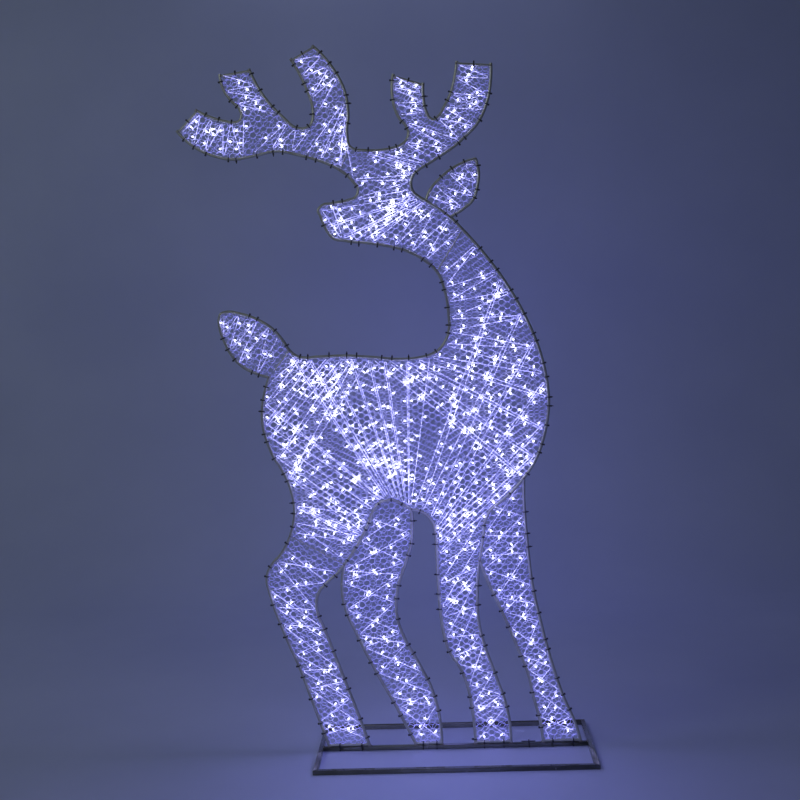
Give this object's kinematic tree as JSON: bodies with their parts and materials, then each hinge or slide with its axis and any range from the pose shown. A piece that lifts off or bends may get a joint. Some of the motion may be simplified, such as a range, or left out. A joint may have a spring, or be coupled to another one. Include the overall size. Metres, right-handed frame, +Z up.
{
  "type": "light-up yard reindeer",
  "caption": "Flat, standing reindeer silhouette of bent steel rod filled with netting, strung with small LEDs, its hooves tied to a low rectangular floor frame.",
  "frame": {"origin": "on the floor, midway along the whole figure's width (antler tip to the base's right end) and midway between the base's front and rear tubes", "axes": "+Z up, +Y to the rear, so the front is at -Y, +X towards the chest; the head is turned back towards -X"},
  "size_m": [1.0007, 0.325, 1.799],
  "materials": {
    "frame_paint": "satin silver-grey paint on round steel rod and square steel tube",
    "netting": "white plastic-coated twisted wire netting",
    "wire_sheath": "clear sheath over two fine conductors",
    "led_lens": "clear lens, lit cool white",
    "tie_nylon": "black nylon",
    "socket_plastic": "black moulded plastic",
    "pin_metal": "bare"
  },
  "bodies": {
    "root": {"antler_left_beam": "frame_paint", "antler_left_inner_rod": "frame_paint", "antler_left_lower_fork": "frame_paint", "antler_left_net": "netting", "antler_left_tip_bars": "frame_paint", "antler_left_upper_fork": "frame_paint", "antler_right_beam": "frame_paint", "antler_right_fork": "frame_paint", "antler_right_inner_rod": "frame_paint", "antler_right_tip_bars": "frame_paint", "antler_stay": "frame_paint", "back_rod": "frame_paint", "base_centre_tube": "frame_paint", "base_front_tube": "frame_paint", "base_left_tube": "frame_paint", "base_rear_tube": "frame_paint", "base_right_tube": "frame_paint", "body_net": "netting", "brow_rod": "frame_paint", "chest_lower_rod": "frame_paint", "chest_upper_rod": "frame_paint", "crown_rod": "frame_paint", "ear_front_rod": "frame_paint", "ear_net": "netting", "ear_rear_rod": "frame_paint", "fore_leg_far_foot_bar": "frame_paint", "fore_leg_far_front_rod": "frame_paint", "fore_leg_far_net": "netting", "fore_leg_far_rear_rod": "frame_paint", "fore_leg_near_foot_bar": "frame_paint", "fore_leg_near_front_rod": "frame_paint", "fore_leg_near_rear_rod": "frame_paint", "front_leds": "led_lens", "front_string_wire": "wire_sheath", "groin_rod": "frame_paint", "head_net": "netting", "hind_leg_far_foot_bar": "frame_paint", "hind_leg_far_front_rod": "frame_paint", "hind_leg_far_net": "netting", "hind_leg_far_rear_rod": "frame_paint", "hind_leg_near_foot_bar": "frame_paint", "hind_leg_near_front_rod": "frame_paint", "hind_leg_near_net": "netting", "hind_leg_near_rear_rod": "frame_paint", "inlet_pins": "pin_metal", "inlet_socket": "socket_plastic", "jaw_rod": "frame_paint", "muzzle_rod": "frame_paint", "nape_rod": "frame_paint", "neck_stay": "frame_paint", "rear_leds": "led_lens", "rear_string_wire": "wire_sheath", "rump_rod": "frame_paint", "tail_net": "netting", "tail_stay": "frame_paint", "tail_top_rod": "frame_paint", "tail_under_rod": "frame_paint", "thigh_stay": "frame_paint", "throat_rod": "frame_paint", "zip_ties": "tie_nylon"}
  },
  "joints": []
}
